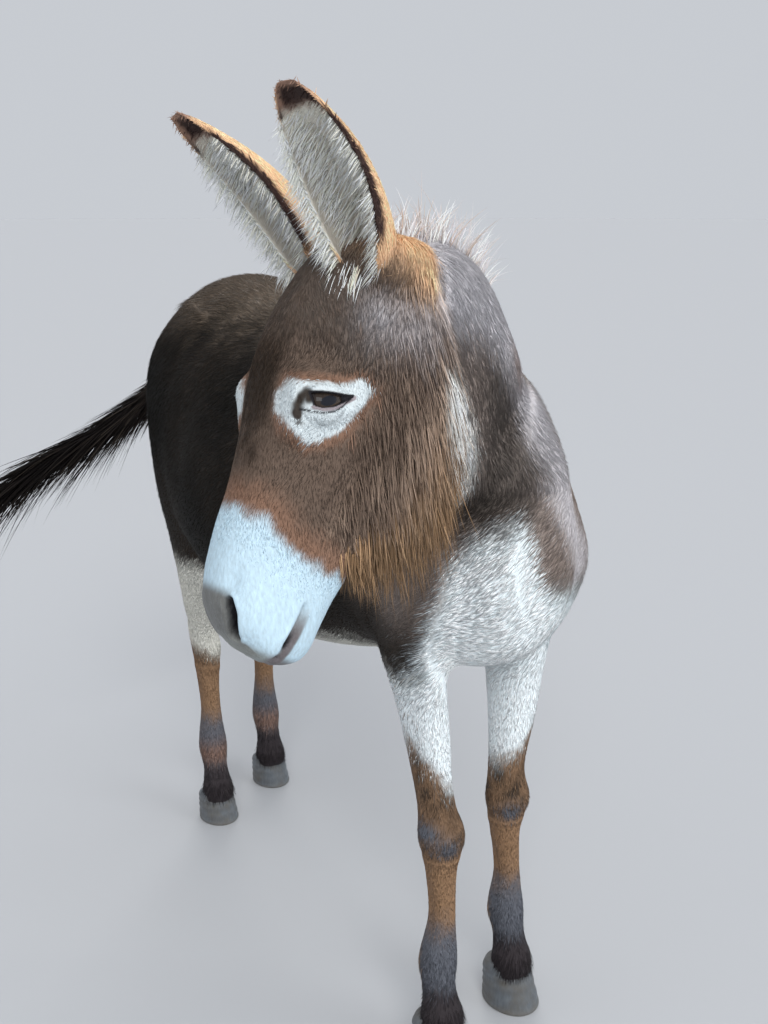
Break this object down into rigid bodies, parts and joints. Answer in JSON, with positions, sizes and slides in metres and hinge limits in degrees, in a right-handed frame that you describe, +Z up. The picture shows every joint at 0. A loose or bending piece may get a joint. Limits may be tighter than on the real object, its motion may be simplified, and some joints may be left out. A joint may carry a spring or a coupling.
{
  "type": "miniature donkey",
  "caption": "Life-size shaggy brown miniature donkey standing still, head turned and lowered to its right, long ears up, tail swung aside.",
  "frame": {"origin": "middle of the bounding box at floor level, between the hooves", "axes": "+Z up; the donkey faces -Y, so its left side is towards +X"},
  "size_m": [0.6542, 1.0634, 1.0856],
  "materials": {
    "coat": "short shaggy hair, chocolate brown with white muzzle, eye rings, breast and inner legs",
    "long_hair": "long coarse hair of mane, beard and tail",
    "eye": "wet, glossy, dark brown",
    "hoof": "ringed horn, grey-blue, slightly worn"
  },
  "bodies": {
    "root": {"barrel": "coat", "beard": "long_hair", "chest": "coat", "ear_left": "coat", "ear_right": "coat", "eye_left": "eye", "eye_right": "eye", "foreleg_left_cannon": "coat", "foreleg_left_forearm": "coat", "foreleg_left_hoof": "hoof", "foreleg_left_pastern": "coat", "foreleg_right_cannon": "coat", "foreleg_right_forearm": "coat", "foreleg_right_hoof": "hoof", "foreleg_right_pastern": "coat", "head": "coat", "hindleg_left_cannon": "coat", "hindleg_left_gaskin": "coat", "hindleg_left_hoof": "hoof", "hindleg_left_pastern": "coat", "hindleg_right_cannon": "coat", "hindleg_right_gaskin": "coat", "hindleg_right_hoof": "hoof", "hindleg_right_pastern": "coat", "hindquarters": "coat", "lower_jaw": "coat", "mane": "long_hair", "muzzle": "coat", "neck_lower": "coat", "neck_upper": "coat", "tail_dock": "long_hair", "tail_middle": "long_hair", "tail_tuft": "long_hair"}
  },
  "joints": []
}
